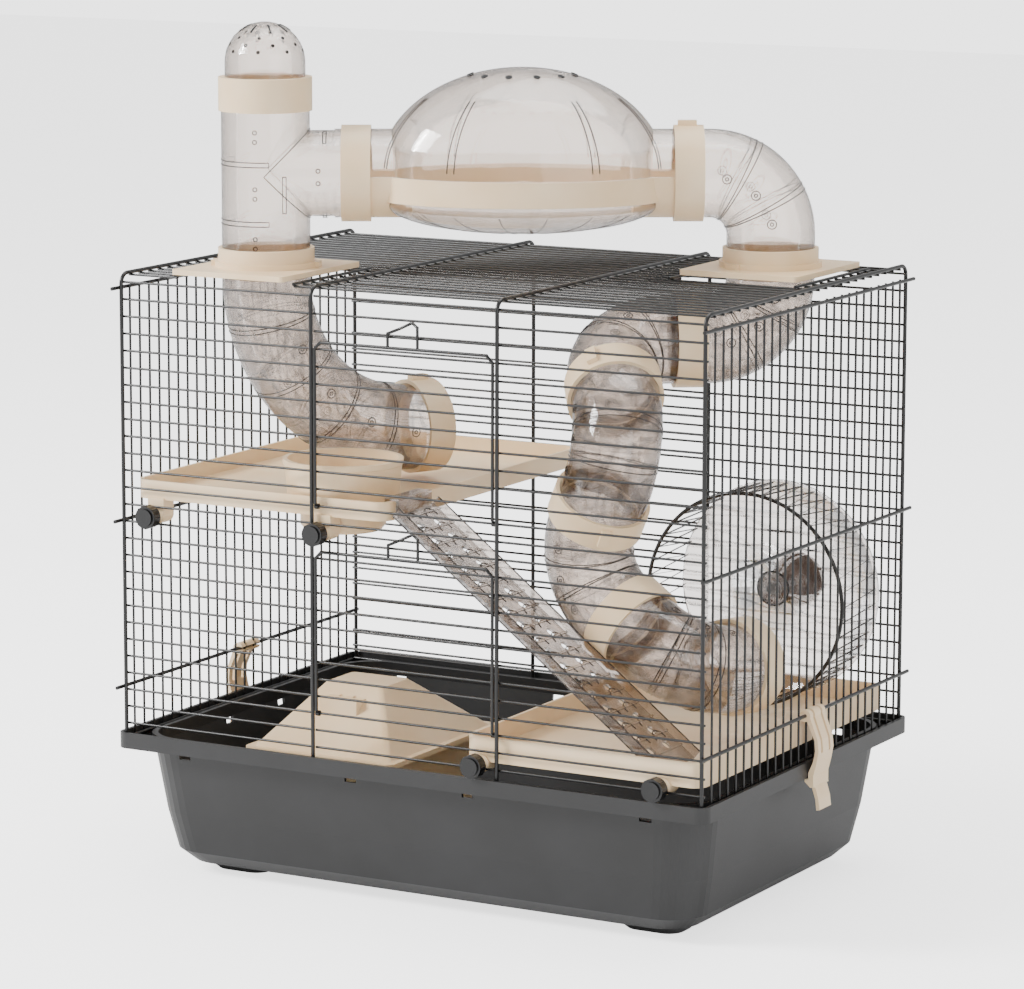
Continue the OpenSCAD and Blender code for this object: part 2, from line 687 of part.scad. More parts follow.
module wheel_bracket() color(bracket_brown) translate([wheel_x, 0, wheel_z]) rotate([-90, 0, 0]) {
    face = wheel_y1 + 3;
    difference() {
        union() {
            translate([0, 0, bracket_y - 4]) cylinder(r = 21, h = 4, $fn = 64);
            translate([0, 0, face]) cylinder(r = 12, h = bracket_y - face, $fn = 64);
        }
        translate([0, 0, face - 1]) cylinder(r = axle_r, h = bracket_y - 3 - face + 1, $fn = 48);
        translate([0, 0, bracket_y - 3 - eps]) cylinder(r = screw_r, h = 10, $fn = 24);
    }
}

module wheel_nut() color(knob_black) translate([wheel_x, 0, wheel_z]) rotate([-90, 0, 0]) {
    back = cage_d / 2 + post_r + 1;
    translate([0, 0, back]) cylinder(r = 15, h = knob_t - 6, $fn = 64);
    translate([0, 0, back + knob_t - 6 - eps]) cylinder(r = 9, h = 6, $fn = 6);
    translate([0, 0, bracket_y - 3]) cylinder(r = screw_r, h = back - bracket_y + 4, $fn = 24);
}

// ---- roof tubes ----
module roof_flange(p, lug_az) color(cream) at_port(p) difference() {
    union() {
        translate([0, 0, flange_z]) slab(flange_w, flange_d, flange_t, 3);
        translate([0, 0, flange_z]) cylinder(r = ring_r + 2.5, h = flange_t + 4, $fn = 64);
        translate([0, 0, flange_z]) cylinder(r = ring_r, h = flange_t + 14, $fn = 64);
        translate([0, 0, flange_z - spigot_h]) cylinder(r = bore_r - gap, h = spigot_h + 1, $fn = 64);
        for (a = [0, 180]) rotate([0, 0, lug_az + a]) translate([ring_r - 1, -6, flange_top - 1])
            cube([6, 12, 5]);
    }
    translate([0, 0, flange_z - spigot_h - 1]) cylinder(r = bore_r - gap - 1.8, h = 40, $fn = 64);
    translate([0, 0, flange_top + 1]) cylinder(r = ring_bore_r, h = 40, $fn = 64);
}

tee_z0 = flange_top + 1 + gap;
tee_z1 = roof_z + tee_h;

module entry_tee() color(smoke) at_port(left_port) rotate([0, 0, tube_line]) difference() {
    union() {
        translate([0, 0, tee_z0]) cylinder(r = tube_r, h = tee_z1 - tee_z0, $fn = 64);
        translate([0, 0, branch_z]) rotate([0, 90, 0]) cylinder(r = tube_r - 1, h = tee_leg - tube_stop, $fn = 64);
        translate([tee_leg - 16, 0, branch_z]) rotate([0, 90, 0]) cylinder(r = tube_r, h = 16 - tube_stop, $fn = 64);
    }
    translate([0, 0, tee_z0 - 1]) cylinder(r = bore_r, h = tee_z1 - tee_z0 + 2, $fn = 64);
    translate([0, 0, branch_z]) rotate([0, 90, 0]) cylinder(r = bore_r - 1, h = tee_leg + 5, $fn = 64);
}

cap_r = tube_r - 3;
cap_z0 = tee_z1 + 2 * ring_stop + gap + 0.3;

module tee_top_ring() color(cream) at_port(left_port) {
    z0 = tee_z1 - 5;
    h = 25;
    difference() {
        union() {
            translate([0, 0, z0]) cylinder(r = ring_r - 1, h = h, $fn = 64);
            rotate([0, 0, tube_line + 90]) translate([ring_r - 2, -4, z0 + 3]) cube([5, 8, h - 6]);
        }
        translate([0, 0, z0 - 1]) cylinder(r = ring_bore_r, h = 6 + gap, $fn = 64);
        translate([0, 0, z0 - 1]) cylinder(r = bore_r - 4, h = h + 2, $fn = 64);
        translate([0, 0, cap_z0 - gap]) cylinder(r = cap_r + 0.1, h = h, $fn = 64);
    }
}

// half outline of the domed cap: a straight skirt under a quarter circle
module cap_profile(r, skirt) polygon(concat([[0, 0], [r, 0]],
    [for (a = [0 : 7.5 : 82.5]) [r * cos(a), skirt + r * sin(a)]], [[0, skirt + r * sin(82.5)]]));

module vent_cap() color(smoke) at_port(left_port) translate([0, 0, cap_z0]) {
    skirt = 28;
    difference() {
        rotate_extrude($fn = 96) difference() {
            cap_profile(cap_r, skirt);
            translate([0, -1]) cap_profile(cap_r - tube_wall, skirt + 1);
        }
        for (a = [15 : 30 : 345], r = [11, 19]) rotate([0, 0, a]) translate([r, 0, skirt])
            cylinder(r = 1.5, h = cap_r + 1, $fn = 24);
    }
}

module line_ring(s, lug_az) on_tube_line(s, branch_z) rotate([0, 90, 0]) color(cream) ring(ring_len, lug_az);
module left_connector_ring() line_ring(left_ring_s, 90);
module right_connector_ring() line_ring(right_ring_s, 180);

// oval drum and oval bowl, both centred on the playroom's axis
module oval(a, b, z0, z1) translate([0, 0, z0]) scale([1, b / a, 1]) cylinder(r = a, h = z1 - z0, $fn = 96);
module oval_ball(a, b, c, z) translate([0, 0, z]) scale([1, b / a, c / a]) sphere(r = a, $fn = 96);
module neck_core(r, reach) rotate([0, 90, 0]) translate([0, 0, -reach]) cylinder(r = r, h = 2 * reach, $fn = 64);
neck_reach = dome_a + dome_arm - tube_stop;
box_r = 400;
module below(z) translate([-box_r, -box_r, z - box_r]) cube([2 * box_r, 2 * box_r, box_r]);
module above(z) translate([-box_r, -box_r, z]) cube([2 * box_r, 2 * box_r, box_r]);

module dome_cover() color(smoke) on_tube_line(dome_s, branch_z) difference() {
    union() {
        oval_ball(dome_a - 1, dome_b - 1, dome_h, 0);
        neck_core(tube_r, neck_reach);
    }
    oval_ball(dome_a - 1 - dome_wall, dome_b - 1 - dome_wall, dome_h - dome_wall, 0);
    neck_core(bore_r, neck_reach + 1);
    below(gap / 2);
}

module dome_band() color(cream) on_tube_line(dome_s, branch_z) difference() {
    union() {
        oval(dome_a, dome_b, -band_h, -gap / 2);
        difference() {
            neck_core(tube_r, neck_reach);
            neck_core(tube_r + 1, dome_a - 26);
            above(-gap / 2);
        }
    }
    oval(dome_a - band_wall, dome_b - band_wall, -band_h + 0.01, 1);
    oval(dome_a - band_wall - 6, dome_b - band_wall - 6, -band_h - 1, 1);
    neck_core(bore_r, neck_reach + 1);
}

module dome_dish() color(smoke) on_tube_line(dome_s, branch_z) difference() {
    oval_ball(dome_a - 2, dome_b - 2, dish_h, -band_h - gap);
    oval_ball(dome_a - 2 - dome_wall, dome_b - 2 - dome_wall, dish_h - dome_wall, -band_h - gap);
    above(-band_h - gap);
    neck_core(tube_r + gap, neck_reach + 10);
}

module outer_elbow() color(smoke) at_port(right_port) rotate([0, 0, tube_line + 180])
    translate([0, 0, branch_z - elbow_leg])
        elbow_tube(elbow_r, tee_z0 - branch_z + elbow_leg, elbow_leg, elbow_leg - tube_stop);

// ---- inner tubes ----
module left_inner_elbow() color(smoke) at_port(left_port) translate([0, 0, flange_z])
    rotate([180, 0, 0]) rotate([0, 0, -left_exit_az])
        elbow_tube(long_elbow_r, gap, long_drop, long_run - tube_stop);

module left_exit_ring() color(cream) at_port(left_port) translate([0, 0, flange_z - long_drop])
    rotate([0, 0, left_exit_az]) translate([long_run, 0, 0]) rotate([0, 90, 0]) ring(ring_len, 180);

module chain_elbow(i) color(smoke) chain_step(i) rotate([0, 0, chain_rolls[i]])
    elbow_tube(elbow_r, i == 0 ? gap : tube_stop, i == 0 ? chain_drop : elbow_leg, elbow_leg - tube_stop);

module chain_ring(i) color(cream) chain_step(i) ring(ring_len, 60 * i);

base_tray();
front_grille_left();
front_grille_right();
front_grille_centre();
back_grille();
side_panel(-1);  // left_side_panel
side_panel(1);  // right_side_panel
roof_grille_left();
roof_grille_centre();
roof_grille_right();
door(upper_hinge_row);  // upper_door
door(lower_hinge_row);  // lower_door
clip(-1);  // left_clip
clip(1);  // right_clip
upper_shelf();
lower_shelf();
knob(upper_knob_xs[0], upper_knob_z);  // upper_knob_left
knob(upper_knob_xs[1], upper_knob_z);  // upper_knob_right
knob(lower_knob_xs[0], lower_knob_z);  // lower_knob_left
knob(lower_knob_xs[1], lower_knob_z);  // lower_knob_right
knob_screw(upper_knob_xs[0], upper_knob_z);  // upper_screw_left
knob_screw(upper_knob_xs[1], upper_knob_z);  // upper_screw_right
knob_screw(lower_knob_xs[0], lower_knob_z);  // lower_screw_left
knob_screw(lower_knob_xs[1], lower_knob_z);  // lower_screw_right
food_bowl();
ramp();
house_walls();
house_roof();
wheel_drum();
wheel_hub_cap();
wheel_axle();
wheel_bracket();
wheel_nut();
roof_flange(left_port, 20);  // left_roof_flange
roof_flange(right_port, 70);  // right_roof_flange
entry_tee();
tee_top_ring();
vent_cap();
left_connector_ring();
right_connector_ring();
dome_cover();
dome_band();
dome_dish();
outer_elbow();
left_inner_elbow();
left_exit_ring();
chain_elbow(0);  // chain_elbow_1
chain_elbow(1);  // chain_elbow_2
chain_elbow(2);  // chain_elbow_3
chain_elbow(3);  // chain_elbow_4
chain_elbow(4);  // chain_elbow_5
chain_ring(1);  // chain_ring_1
chain_ring(2);  // chain_ring_2
chain_ring(3);  // chain_ring_3
chain_ring(4);  // chain_ring_4
chain_ring(5);  // chain_exit_ring
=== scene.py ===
import math

import bpy
from mathutils import Matrix, Vector


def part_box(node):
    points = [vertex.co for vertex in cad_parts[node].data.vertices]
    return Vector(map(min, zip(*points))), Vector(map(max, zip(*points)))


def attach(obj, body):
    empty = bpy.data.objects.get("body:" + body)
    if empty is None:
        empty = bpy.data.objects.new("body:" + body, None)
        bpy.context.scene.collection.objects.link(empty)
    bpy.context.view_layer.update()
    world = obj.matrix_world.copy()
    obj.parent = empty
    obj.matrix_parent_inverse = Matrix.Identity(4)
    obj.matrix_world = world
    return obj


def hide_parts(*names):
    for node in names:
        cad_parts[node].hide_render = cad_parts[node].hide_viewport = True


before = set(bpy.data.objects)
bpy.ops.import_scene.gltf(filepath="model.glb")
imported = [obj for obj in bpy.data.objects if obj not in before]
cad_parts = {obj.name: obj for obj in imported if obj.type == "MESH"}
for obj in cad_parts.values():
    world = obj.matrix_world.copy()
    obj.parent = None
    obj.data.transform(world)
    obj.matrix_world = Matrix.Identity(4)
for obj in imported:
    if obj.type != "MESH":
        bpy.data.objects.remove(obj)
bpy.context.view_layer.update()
MM = 0.001


# ---- Studio ----
# A white sweep under one strong soft light from the left, as small goods are shot for a
# catalogue. The camera stands to the right of the front doors, a little above the roof.
def hex_rgb(code):
    """sRGB hex to linear red, green, blue, 1."""
    parts = [int(code[i:i + 2], 16) / 255 for i in (1, 3, 5)]
    return [c / 12.92 if c <= 0.04045 else ((c + 0.055) / 1.055) ** 2.4 for c in parts] + [1.0]


def add_node(tree, kind, links=None, **settings):
    """Add a node. A setting names a property or an input; a link is {input: (node, output)}."""
    made = tree.nodes.new(kind)
    for key, value in settings.items():
        if hasattr(made, key):
            setattr(made, key, value)
        else:
            made.inputs[key.replace("_", " ")].default_value = value
    for key, (source, output) in (links or {}).items():
        tree.links.new(source.outputs[output], made.inputs[key])
    return made


camera_data = bpy.data.cameras.new("camera")
camera_data.lens = 158.87
camera_data.sensor_width = 36
camera_data.shift_x = 0.0483
camera_data.shift_y = -0.0230
camera_data.clip_end = 30
camera = bpy.data.objects.new("camera", camera_data)
camera.location = (1.6388, -2.9562, 0.8739)
camera.rotation_euler = (math.radians(90 - 9.504), 0, math.radians(29.69))
bpy.context.collection.objects.link(camera)
bpy.context.scene.camera = camera


def soft_box(name, place, aim, size, power):
    """A square area lamp that points at aim."""
    lamp = bpy.data.lights.new(name, "AREA")
    lamp.size = size
    lamp.energy = power
    holder = bpy.data.objects.new(name, lamp)
    holder.location = place
    holder.rotation_euler = (Vector(aim) - Vector(place)).to_track_quat("-Z", "Y").to_euler()
    bpy.context.collection.objects.link(holder)


soft_box("key_light", (-2.2, -1.9, 2.2), (0, 0, 0.3), 1.1, 185)
soft_box("fill_light", (2.4, -1.6, 1.0), (0, 0, 0.2), 1.6, 26)
soft_box("top_light", (0.2, 0.6, 2.8), (0, 0, 0.2), 2.0, 45)



def seen_strength(tree, seen, felt):
    """One strength for rays looked along, straight or through clear plastic, one for the rest."""
    ray = add_node(tree, "ShaderNodeLightPath")
    looked = add_node(tree, "ShaderNodeMath", operation="MAXIMUM")
    tree.links.new(ray.outputs["Is Camera Ray"], looked.inputs[0])
    tree.links.new(ray.outputs["Is Transmission Ray"], looked.inputs[1])
    strength = add_node(tree, "ShaderNodeMapRange", {"Value": (looked, "Value")})
    strength.inputs["To Min"].default_value = felt
    strength.inputs["To Max"].default_value = seen
    return strength.outputs["Result"]


world = bpy.data.worlds.new("white_room")
world.use_nodes = True
world_shader = world.node_tree.nodes["Background"]
world_shader.inputs["Color"].default_value = (1, 1, 1, 1)
world.node_tree.links.new(seen_strength(world.node_tree, 3.0, 0.8), world_shader.inputs["Strength"])
bpy.context.scene.world = world


def plain_mesh(name, verts, faces, material, smooth=True):
    """A mesh object at the origin with one material."""
    data = bpy.data.meshes.new(name)
    data.from_pydata([tuple(v) for v in verts], [], faces)
    data.materials.append(material)
    for face in data.polygons:
        face.use_smooth = smooth
    made = bpy.data.objects.new(name, data)
    bpy.context.collection.objects.link(made)
    return made


def new_material(name):
    """A material with a Principled shader, object coordinates and nothing else."""
    made = bpy.data.materials.new(name)
    made.use_nodes = True
    tree = made.node_tree
    where = add_node(tree, "ShaderNodeTexCoord")
    return made, tree, tree.nodes["Principled BSDF"], where


paper, paper_tree, paper_shader, paper_where = new_material("white_paper")
paper_shader.inputs["Roughness"].default_value = 0.9
paper_noise = add_node(paper_tree, "ShaderNodeTexNoise", {"Vector": (paper_where, "Object")},
                       Scale=6.0)
paper_ramp = add_node(paper_tree, "ShaderNodeValToRGB", {"Fac": (paper_noise, "Fac")})
paper_ramp.color_ramp.elements[0].color = hex_rgb("#f4f4f4")
paper_ramp.color_ramp.elements[1].color = hex_rgb("#fbfbfb")
paper_tree.links.new(paper_ramp.outputs["Color"], paper_shader.inputs["Base Color"])
paper_shader.inputs["Emission Color"].default_value = (1, 1, 1, 1)
paper_tree.links.new(seen_strength(paper_tree, 1.9, 0.05), paper_shader.inputs["Emission Strength"])
REACH = 8.0
floor_corners = [(-REACH, -REACH, 0), (REACH, -REACH, 0), (REACH, REACH, 0), (-REACH, REACH, 0)]
floor = plain_mesh("floor", floor_corners, [(0, 1, 2, 3)], paper, smooth=False)


def dress(nodes, material):
    """Give carried-over parts their material."""
    for name in nodes:
        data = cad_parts[name].data
        data.materials.clear()
        data.materials.append(material)


def moulded(name, dark, light, roughness, grain_mm, bump, coat=0.0):
    """Opaque moulded plastic or paint: slow colour drift, fine spark-eroded grain, uneven gloss."""
    made, tree, shader, where = new_material(name)
    drift = add_node(tree, "ShaderNodeTexNoise", {"Vector": (where, "Object")},
                     Scale=1 / (60 * MM), Detail=3.0)
    tone = add_node(tree, "ShaderNodeValToRGB", {"Fac": (drift, "Fac")})
    tone.color_ramp.elements[0].position = 0.3
    tone.color_ramp.elements[0].color = hex_rgb(dark)
    tone.color_ramp.elements[1].position = 0.7
    tone.color_ramp.elements[1].color = hex_rgb(light)
    tree.links.new(tone.outputs["Color"], shader.inputs["Base Color"])
    grain = add_node(tree, "ShaderNodeTexNoise", {"Vector": (where, "Object")},
                     Scale=1 / (grain_mm * MM), Detail=4.0)
    gloss = add_node(tree, "ShaderNodeMapRange", {"Value": (grain, "Fac")})
    gloss.inputs["To Min"].default_value = roughness - 0.06
    gloss.inputs["To Max"].default_value = roughness + 0.08
    tree.links.new(gloss.outputs["Result"], shader.inputs["Roughness"])
    relief = add_node(tree, "ShaderNodeBump", {"Height": (grain, "Fac")},
                      Strength=bump, Distance=0.2 * MM)
    tree.links.new(relief.outputs["Normal"], shader.inputs["Normal"])
    shader.inputs["Coat Weight"].default_value = coat
    shader.inputs["Coat Roughness"].default_value = 0.08
    return made


# ---- Tray ----
# The deep lower tray is injection-moulded polypropylene in anthracite, in one piece with its
# feet. Its outside has a satin grain from the mould; only the edges of the rim catch light.
tray_plastic = moulded("anthracite_polypropylene", "#212121", "#282829", 0.4, 0.7, 0.2)
tray_plastic.node_tree.nodes["Principled BSDF"].inputs["IOR"].default_value = 1.49
dress(["base_tray"], tray_plastic)

# ---- Wire cage ----
# The walls, the roof and the doors are steel wires, spot-welded and dipped in glossy black
# enamel, which pools a little at the welds and gives each wire one thin bright line.
enamel = moulded("black_enamel_on_steel_wire", "#030303", "#070708", 0.34, 3.0, 0.1, coat=0.15)
dress(["front_grille_left", "front_grille_centre", "front_grille_right", "back_grille",
       "left_side_panel", "right_side_panel", "roof_grille_left", "roof_grille_centre",
       "roof_grille_right", "upper_door", "lower_door"], enamel)

# ---- Cream plastic parts ----
# Shelves, house, bowl, clips, flanges and rings are moulded in cream polystyrene with a soft
# gloss. A little light goes into it, so its shadows turn warm.
cream = moulded("cream_polystyrene", "#e6c89c", "#f0d8b4", 0.34, 0.9, 0.1)
cream_shader = cream.node_tree.nodes["Principled BSDF"]
cream_shader.inputs["IOR"].default_value = 1.55
cream_shader.inputs["Subsurface Weight"].default_value = 0.12
cream_shader.inputs["Subsurface Radius"].default_value = (1.0, 0.55, 0.3)
cream_shader.inputs["Subsurface Scale"].default_value = 2 * MM
dress(["left_clip", "right_clip", "upper_shelf", "lower_shelf", "food_bowl", "house_walls",
       "house_roof", "left_roof_flange", "right_roof_flange", "tee_top_ring",
       "left_connector_ring", "right_connector_ring", "dome_band", "left_exit_ring",
       "chain_ring_1", "chain_ring_2", "chain_ring_3", "chain_ring_4", "chain_exit_ring"], cream)

# ---- Knobs, screws and the wheel's bracket ----
# Fluted black knobs turn zinc-plated screws that hold the shelves to the wires. The wheel runs
# on a zinc-plated axle in a brown moulded bracket, held from behind by a black nut.
black_plastic = moulded("black_abs", "#0b0b0c", "#131314", 0.3, 0.8, 0.15)
dress(["upper_knob_left", "upper_knob_right", "lower_knob_left", "lower_knob_right", "wheel_nut"],
      black_plastic)
zinc = moulded("zinc_plated_steel", "#a9abad", "#c3c5c8", 0.3, 0.5, 0.2)
zinc.node_tree.nodes["Principled BSDF"].inputs["Metallic"].default_value = 1.0
dress(["upper_screw_left", "upper_screw_right", "lower_screw_left", "lower_screw_right",
       "wheel_axle"], zinc)
brown_plastic = moulded("brown_moulded_bracket", "#5f4c3f", "#725c4c", 0.45, 0.9, 0.2)
dress(["wheel_bracket"], brown_plastic)


# ---- Clear tubes ----
# The play tubes are blown in clear smoke polystyrene, 2 mm thick. Each elbow has pairs of thin
# ribs round it and small round pips on its cheeks where the mould's pins stood.

# A Mix node's colour sockets, by number, because its sockets share their names
MIX_COLOUR_A, MIX_COLOUR_B, MIX_RESULT = 6, 7, 2


def clear_plastic(name, tint, edge, alpha, streaks=0.0):
    """Thin clear plastic: pale where looked through, darker along its silhouettes, with streaks of
    painted dark reflection.
    """
    made, tree, shader, where = new_material(name)
    rim = add_node(tree, "ShaderNodeLayerWeight", Blend=0.35)
    deep = add_node(tree, "ShaderNodeValToRGB", {"Fac": (rim, "Facing")})
    deep.color_ramp.elements[0].position = 0.2
    deep.color_ramp.elements[0].color = hex_rgb(tint)[:3] + [alpha]
    deep.color_ramp.elements[1].position = 0.8
    deep.color_ramp.elements[1].color = hex_rgb(edge)
    tree.links.new(deep.outputs["Alpha"], shader.inputs["Alpha"])
    # Painted reflection: noise bands pull the colour towards the dark edge colour, as dark streaks
    # reflected in the clear wall.
    dark_reflection_noise = add_node(tree, "ShaderNodeTexNoise", {"Vector": (where, "Object")},
                     Scale=1 / (24 * MM), Distortion=2.2)
    band = add_node(tree, "ShaderNodeMapRange", {"Value": (dark_reflection_noise, "Fac")})
    band.inputs["From Min"].default_value = 0.5
    band.inputs["From Max"].default_value = 0.6
    band.inputs["To Max"].default_value = streaks
    tone = add_node(tree, "ShaderNodeMix", {"Factor": (band, "Result")}, data_type="RGBA")
    tree.links.new(deep.outputs["Color"], tone.inputs[MIX_COLOUR_A])
    tone.inputs[MIX_COLOUR_B].default_value = hex_rgb(edge)
    tree.links.new(tone.outputs[MIX_RESULT], shader.inputs["Base Color"])
    wave = add_node(tree, "ShaderNodeTexNoise", {"Vector": (where, "Object")},
                    Scale=1 / (22 * MM), Detail=2.0)
    relief = add_node(tree, "ShaderNodeBump", {"Height": (wave, "Fac")},
                      Strength=0.25, Distance=1.0 * MM)
    tree.links.new(relief.outputs["Normal"], shader.inputs["Normal"])
    shader.inputs["Roughness"].default_value = 0.05
    shader.inputs["IOR"].default_value = 1.49
    shader.inputs["Transmission Weight"].default_value = 1.0
    return made


smoke = clear_plastic("clear_smoke_polystyrene", "#ddd2c9", "#31251f", 0.6)
dress(["entry_tee", "vent_cap", "dome_cover", "dome_dish", "outer_elbow"], smoke)
# Painted shade: a darker copy of the smoke plastic for the elbows inside the cage, where less light
# reaches them.
shaded_smoke = clear_plastic("clear_smoke_in_shade", "#bdafa4", "#2b201a", 0.7, streaks=0.5)
dress(["left_inner_elbow", "chain_elbow_1", "chain_elbow_2", "chain_elbow_3", "chain_elbow_4",
       "chain_elbow_5"], shaded_smoke)
rib_smoke = moulded("thick_smoke_edge", "#1f1814", "#30261f", 0.15, 2.0, 0.05)
rib_smoke.node_tree.nodes["Principled BSDF"].inputs["Alpha"].default_value = 0.75

TUBE_R = 33 * MM
BEND_R = 46 * MM
LEG = 62 * MM
CHAIN_DROP = 51 * MM
CHAIN_ROLLS = (145, 241, 257, 143, 257)
LONG_BEND_R = 124 * MM
LONG_DROP = 128 * MM
LEFT_EXIT = 62


def swept(name, body, lines, radius, material, sides=8):
    """Round ribs along polylines; a line is (points, closed). The sweep is a node tree."""
    verts, edges = [], []
    for points, closed in lines:
        first = len(verts)
        verts += [tuple(p) for p in points]
        edges += [(first + i, first + i + 1) for i in range(len(points) - 1)]
        if closed:
            edges.append((len(verts) - 1, first))
    data = bpy.data.meshes.new(name)
    data.from_pydata(verts, edges, [])
    source = bpy.data.objects.new(name + "_lines", data)
    bpy.context.collection.objects.link(source)
    tree = bpy.data.node_groups.new(name + "_sweep", "GeometryNodeTree")
    sockets = tree.interface
    sockets.new_socket("Geometry", in_out="INPUT", socket_type="NodeSocketGeometry")
    radius_socket = sockets.new_socket("Rib radius", in_out="INPUT", socket_type="NodeSocketFloat")
    sockets.new_socket("Geometry", in_out="OUTPUT", socket_type="NodeSocketGeometry")
    entry = add_node(tree, "NodeGroupInput")
    path = add_node(tree, "GeometryNodeMeshToCurve", {"Mesh": (entry, "Geometry")})
    profile = add_node(tree, "GeometryNodeCurvePrimitiveCircle", {"Radius": (entry, "Rib radius")},
                       Resolution=sides)
    skin = add_node(tree, "GeometryNodeCurveToMesh",
                    {"Curve": (path, "Curve"), "Profile Curve": (profile, "Curve")}, Fill_Caps=True)
    smooth = add_node(tree, "GeometryNodeSetShadeSmooth", {"Geometry": (skin, "Mesh")})
    real = add_node(tree, "GeometryNodeRealizeInstances", {"Geometry": (smooth, "Geometry")})
    finish = add_node(tree, "GeometryNodeSetMaterial", {"Geometry": (real, "Geometry")},
                      Material=material)
    add_node(tree, "NodeGroupOutput", {"Geometry": (finish, "Geometry")})
    modifier = source.modifiers.new("sweep", "NODES")
    modifier.node_group = tree
    modifier[radius_socket.identifier] = radius
    graph = bpy.context.evaluated_depsgraph_get()
    result = bpy.data.meshes.new_from_object(source.evaluated_get(graph), depsgraph=graph)
    bpy.data.objects.remove(source)
    result.name = name
    if not result.materials:
        result.materials.append(material)
    made = bpy.data.objects.new(name, result)
    bpy.context.collection.objects.link(made)
    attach(made, body)
    return made


def turn(axis, degrees):
    return Matrix.Rotation(math.radians(degrees), 4, axis)


def shift(x, y, z):
    return Matrix.Translation((x, y, z))


def circle(place, radius, count=48):
    """A closed circle in the XY plane of place."""
    steps = [2 * math.pi * i / count for i in range(count)]
    return [place @ Vector((radius * math.cos(a), radius * math.sin(a), 0)) for a in steps], True


def middle(node):
    low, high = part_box(node)
    return [(a + b) / 2 for a, b in zip(low, high)]


left_port = middle("left_roof_flange")[:2]
right_port = middle("right_roof_flange")[:2]
flange_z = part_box("left_inner_elbow")[1][2] + 0.3 * MM
line_angle = math.degrees(math.atan2(right_port[1] - left_port[1], right_port[0] - left_port[0]))
branch_z = flange_z + 73.2 * MM


def elbow_details(place, bend, start, angles, pips):
    """Rib pairs and pips of an elbow that enters along +Z of place and leaves along +X."""
    ribs, dots = [], []
    for angle in angles:
        for twin in (-1.4, 1.4):
            a = math.radians(angle) + twin * MM / bend
            spot = shift(bend * (1 - math.cos(a)), 0, start + bend * math.sin(a))
            ribs.append(circle(place @ spot @ turn("Y", math.degrees(a)), TUBE_R + 0.1 * MM, 64))
    for angle in pips:
        a = math.radians(angle)
        for side in (-1, 1):
            spot = shift(bend * (1 - math.cos(a)), side * (TUBE_R + 0.1 * MM),
                         start + bend * math.sin(a))
            for size in (1.2, 3.4):
                dots.append(circle(place @ spot @ turn("X", 90), size * MM, 20))
    return ribs, dots


tube_ribs, tube_pips = [], []
step = shift(right_port[0], right_port[1], flange_z) @ turn("X", 180)
for index, roll in enumerate(CHAIN_ROLLS):
    leg_in = CHAIN_DROP if index == 0 else LEG
    entry_place = step @ turn("Z", roll)
    ribs, pips = elbow_details(entry_place, BEND_R, leg_in - BEND_R, (30, 60), (15, 45, 75))
    tube_ribs += ribs
    tube_pips += pips
    step = entry_place @ shift(LEG, 0, leg_in) @ turn("Y", 90)
outer = shift(right_port[0], right_port[1], branch_z - LEG) @ turn("Z", line_angle + 180)
ribs, pips = elbow_details(outer, BEND_R, LEG - BEND_R, (28, 62), (14, 45, 76))
tube_ribs += ribs
tube_pips += pips
inner = shift(left_port[0], left_port[1], flange_z) @ turn("X", 180) @ turn("Z", -LEFT_EXIT)
ribs, pips = elbow_details(inner, LONG_BEND_R, LONG_DROP - LONG_BEND_R,
                           (15, 35, 55, 75), (25, 45, 65, 84))
tube_ribs += ribs
tube_pips += pips


def outline(place, radius, low, high, start, end):
    """A rectangle drawn on a tube about Z of place, from one height and azimuth to another."""
    sweep_count = max(2, int(abs(end - start) / 6))
    turns = [math.radians(start + (end - start) * i / sweep_count) for i in range(sweep_count + 1)]
    points = []
    for a, z in [(a, low) for a in turns] + [(a, high) for a in reversed(turns)]:
        points.append(place @ Vector((radius * math.cos(a), radius * math.sin(a), z)))
    return points, True


tee_r = TUBE_R + 0.2 * MM


def wall_pip(place, azimuth, height):
    """A small ring lying on the wall of the tee or of its branch."""
    a = math.radians(azimuth)
    spot = place @ shift(tee_r * math.cos(a), tee_r * math.sin(a), height)
    return circle(spot @ turn("Z", azimuth) @ turn("Y", 90), 1.5 * MM, 16)


tee_place = shift(left_port[0], left_port[1], flange_z)
for bar_z in (38 * MM, 82 * MM):
    tube_ribs.append(outline(tee_place, tee_r, bar_z - 1.7 * MM, bar_z + 1.7 * MM, -190, -54))
tube_ribs.append(outline(tee_place, tee_r, 46 * MM, 73 * MM, -36, -31))
for pip_z in (20, 27, 57, 64, 99, 106):
    tube_pips.append(wall_pip(tee_place, -72, pip_z * MM))
branch_place = shift(left_port[0], left_port[1], branch_z) @ turn("Z", line_angle)
SEAM_STEPS = 64
seam = []
for i in range(SEAM_STEPS):
    a = 2 * math.pi * i / SEAM_STEPS
    across, rise = tee_r * math.cos(a), tee_r * math.sin(a)
    seam.append(branch_place @ Vector((abs(rise), across, rise)))
tube_ribs.append((seam, True))
branch_axis = branch_place @ turn("Y", 90)
for start in (195, 335):
    tube_ribs.append(outline(branch_axis, tee_r, 43 * MM, 45.5 * MM, start, start + 28))
for azimuth in (262, 278):
    tube_pips.append(wall_pip(branch_axis, azimuth, 40 * MM))
swept("tube_ribs", "cage", tube_ribs, 0.42 * MM, rib_smoke, sides=6)
swept("tube_pips", "cage", tube_pips, 0.4 * MM, rib_smoke, sides=6)

